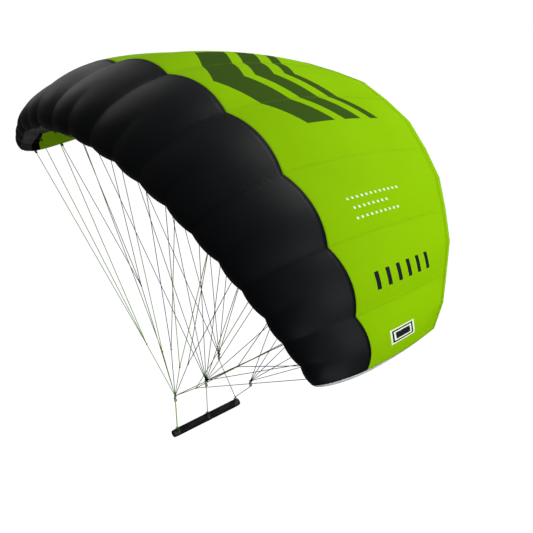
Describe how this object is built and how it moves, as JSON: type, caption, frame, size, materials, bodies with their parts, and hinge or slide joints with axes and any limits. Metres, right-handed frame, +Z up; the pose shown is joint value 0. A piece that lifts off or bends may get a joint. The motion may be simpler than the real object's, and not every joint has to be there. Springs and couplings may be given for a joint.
{
  "type": "foil kite",
  "caption": "Ram-air foil kite in flight: an arched cloth canopy of sewn cells, a fan of bridle lines, and a padded control bar hung on leader lines.",
  "frame": {"origin": "centre of lift of the canopy: on the middle rib's chord line, a third of the chord behind the nose, where the wind holds the kite up", "axes": "+X from the leading edge to the trailing edge, +Y to the right wing tip, +Z up"},
  "size_m": [1.6624, 2.742, 2.3467],
  "materials": {
    "black_ripstop": "woven ripstop, slight sheen",
    "lime_ripstop": "woven ripstop, slight sheen",
    "intake_mesh": "open mesh",
    "hem_tape": "folded tape",
    "tip_cloth": "woven ripstop",
    "rib_cloth": "woven ripstop",
    "webbing": "woven tape",
    "green_line": "braided line",
    "dark_line": "braided line",
    "ring_steel": "satin",
    "bar_alloy": "anodised",
    "grip_foam": "closed-cell foam",
    "bar_plastic": "moulded"
  },
  "bodies": {
    "canopy": {"bottom_panel_1": "lime_ripstop", "bottom_panel_2": "lime_ripstop", "bottom_panel_3": "lime_ripstop", "bottom_panel_4": "lime_ripstop", "bottom_panel_5": "lime_ripstop", "bottom_panel_6": "lime_ripstop", "bottom_panel_7": "lime_ripstop", "bottom_panel_8": "lime_ripstop", "bottom_panel_9": "lime_ripstop", "bridle_knots": "dark_line", "bridle_loops": "webbing", "bridle_rings": "ring_steel", "front_main_lines": "green_line", "front_row_lines": "green_line", "intake_mesh": "intake_mesh", "leading_edge_panel_1": "black_ripstop", "leading_edge_panel_2": "black_ripstop", "leading_edge_panel_3": "black_ripstop", "leading_edge_panel_4": "black_ripstop", "leading_edge_panel_5": "black_ripstop", "leading_edge_panel_6": "black_ripstop", "leading_edge_panel_7": "black_ripstop", "leading_edge_panel_8": "black_ripstop", "leading_edge_panel_9": "black_ripstop", "left_tip_rib": "tip_cloth", "middle_ribs": "rib_cloth", "rear_row_lines": "dark_line", "rib_1": "rib_cloth", "rib_2": "rib_cloth", "rib_3": "rib_cloth", "rib_4": "rib_cloth", "rib_5": "rib_cloth", "rib_6": "rib_cloth", "rib_7": "rib_cloth", "rib_8": "rib_cloth", "right_tip_rib": "tip_cloth", "second_main_lines": "dark_line", "second_row_lines": "dark_line", "third_row_lines": "dark_line", "top_panel_1": "lime_ripstop", "top_panel_2": "lime_ripstop", "top_panel_3": "lime_ripstop", "top_panel_4": "lime_ripstop", "top_panel_5": "lime_ripstop", "top_panel_6": "lime_ripstop", "top_panel_7": "lime_ripstop", "top_panel_8": "lime_ripstop", "top_panel_9": "lime_ripstop", "trailing_edge_tape": "hem_tape"},
    "front_leader": {"front_leader": "green_line", "front_leader_loops": "green_line"},
    "bar": {"bar_collar": "bar_plastic", "bar_end_caps": "bar_plastic", "bar_eyes": "bar_plastic", "bar_grip": "grip_foam", "bar_tube": "bar_alloy"},
    "middle_leader": {"middle_leader": "dark_line", "middle_leader_loops": "dark_line"},
    "rear_leaders": {"rear_leader_loops": "dark_line", "rear_leaders": "dark_line"}
  },
  "joints": [
    {"name": "front_leader_swing", "type": "hinge", "parent": "canopy", "child": "front_leader", "pos_m": [-0.28331, 0, -1.75113], "axis": [0, 1, 0], "range_deg": [-30, 30]},
    {"name": "bar_level", "type": "hinge", "parent": "front_leader", "child": "bar", "pos_m": [-0.28331, 0, -1.97813], "axis": [0, 1, 0], "range_deg": [-30, 30]},
    {"name": "middle_leader_swing", "type": "hinge", "parent": "canopy", "child": "middle_leader", "pos_m": [-0.05755, 0, -1.77486], "axis": [0, 1, 0], "range_deg": [-30, 30]},
    {"name": "rear_leaders_swing", "type": "hinge", "parent": "canopy", "child": "rear_leaders", "pos_m": [0.15726, 0, -1.79743], "axis": [0, 1, 0], "range_deg": [-30, 30]}
  ],
  "couplings": [
    {"joint": "bar_level", "follows": "front_leader_swing", "ratio": -1},
    {"joint": "middle_leader_swing", "follows": "front_leader_swing", "ratio": 1},
    {"joint": "rear_leaders_swing", "follows": "front_leader_swing", "ratio": 1}
  ]
}
